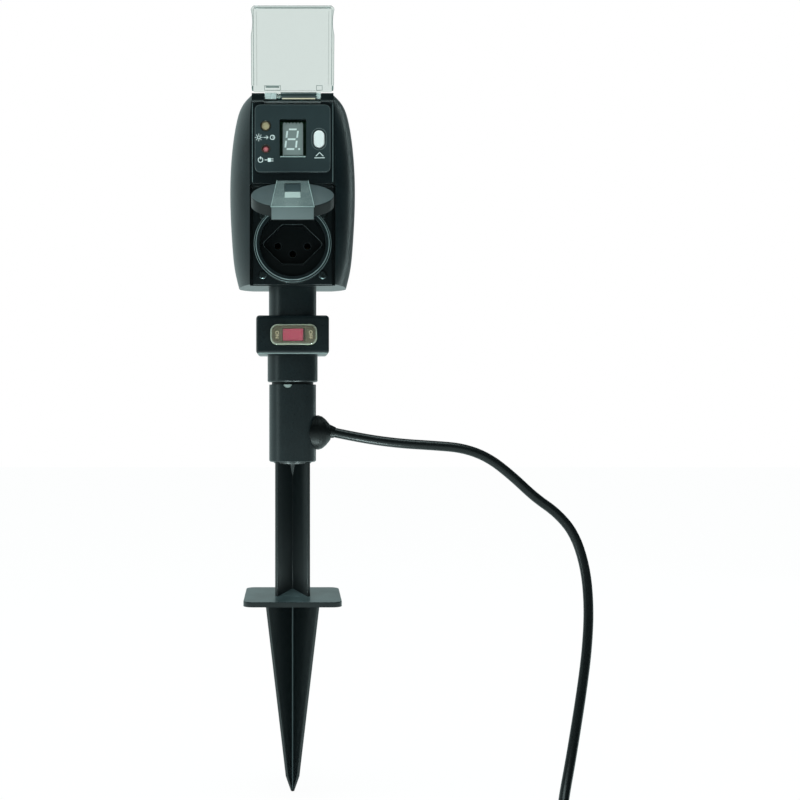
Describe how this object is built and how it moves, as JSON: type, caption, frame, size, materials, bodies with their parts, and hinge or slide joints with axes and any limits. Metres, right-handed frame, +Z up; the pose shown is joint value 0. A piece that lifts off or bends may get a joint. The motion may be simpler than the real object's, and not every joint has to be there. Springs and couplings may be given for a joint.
{
  "type": "garden socket",
  "caption": "Outdoor socket on a ground spike with a hinged lid, a timer panel under a clear flap, a rain-proof switch and a mains lead",
  "frame": {"origin": "on the spike's axis at the underside of its flange, which is soil level", "axes": "+Z up along the column, -Y out of the socket's front, +X to the right seen from the front"},
  "size_m": [0.2855, 0.1991, 0.4978],
  "materials": {
    "black_plastic": "black moulded polypropylene with a slight sheen",
    "black_gloss": "black gloss plastic",
    "grey_plastic": "light grey plastic",
    "grey_lid": "dark grey moulded plastic",
    "rubber_seal": "black rubber",
    "steel": "zinc plated steel",
    "clear_boot": "clear flexible vinyl",
    "clear_flap": "clear polycarbonate",
    "brass": "brass",
    "plated_brass": "nickel plated brass",
    "red_plastic": "translucent red plastic",
    "amber_plastic": "translucent amber plastic",
    "white_plastic": "white plastic",
    "board": "green glass epoxy board",
    "display_grey": "grey display face",
    "iron": "laminated iron core",
    "cord_rubber": "black rubber sheathed cord",
    "tie_plastic": "black nylon strap",
    "wire_brown": "brown insulated wire",
    "wire_blue": "blue insulated wire",
    "wire_green": "green and yellow insulated wire"
  },
  "bodies": {
    "column": {"ground_spike": "black_plastic", "sleeve": "black_plastic", "lock_tab": "grey_plastic", "joint_ring": "rubber_seal", "lower_collar": "black_plastic", "cord_gland": "rubber_seal", "gland_nut": "black_plastic", "switch_box": "black_plastic", "switch_box_cover": "black_plastic", "switch_box_screws": "steel", "switch_boot": "clear_boot", "switch_body": "black_plastic", "switch_blades": "brass", "neck_tube": "black_plastic", "front_shell": "black_plastic", "rear_shell": "black_plastic", "shell_screws": "steel", "control_frame": "black_plastic", "label_plate": "black_plastic", "control_board": "board", "display": "display_grey", "photocell_lens": "amber_plastic", "photocell": "grey_plastic", "power_lamp": "red_plastic", "tact_switch": "grey_plastic", "relay": "black_gloss", "capacitor": "black_gloss", "transformer": "iron", "socket_frame": "black_plastic", "socket_gasket": "rubber_seal", "socket_screws": "steel", "socket_insert": "black_plastic", "live_contact": "brass", "neutral_contact": "brass", "earth_contact": "brass", "contact_screws": "steel", "lid_hinge_pin": "steel", "mains_cord": "cord_rubber", "mains_cord_coil": "cord_rubber", "cord_tie": "tie_plastic", "plug_boot": "cord_rubber", "plug_body": "black_gloss", "plug_pins": "plated_brass", "live_wire": "wire_brown", "neutral_wire": "wire_blue", "earth_wire": "wire_green"},
    "flap": {"clear_flap": "clear_flap"},
    "lid": {"socket_lid": "grey_lid", "lid_seal": "rubber_seal"},
    "button": {"push_button": "white_plastic"},
    "rocker": {"rocker": "red_plastic"}
  },
  "joints": [
    {"name": "flap_hinge", "type": "hinge", "parent": "column", "child": "flap", "pos_m": [0, -0.0274, 0.3201], "axis": [1, 0, 0], "range_deg": [-17, 166]},
    {"name": "lid_hinge", "type": "hinge", "parent": "column", "child": "lid", "pos_m": [0, -0.024, 0.2613], "axis": [1, 0, 0], "range_deg": [0, 63]},
    {"name": "button_press", "type": "slide", "parent": "column", "child": "button", "axis": [0, 1, 0], "range_m": [0, 0.001], "stiffness_N_per_m": 300},
    {"name": "rocker_tilt", "type": "hinge", "parent": "column", "child": "rocker", "pos_m": [0.0007, -0.0164, 0.17095], "axis": [0, 0, 1], "range_deg": [0, 18]}
  ]
}
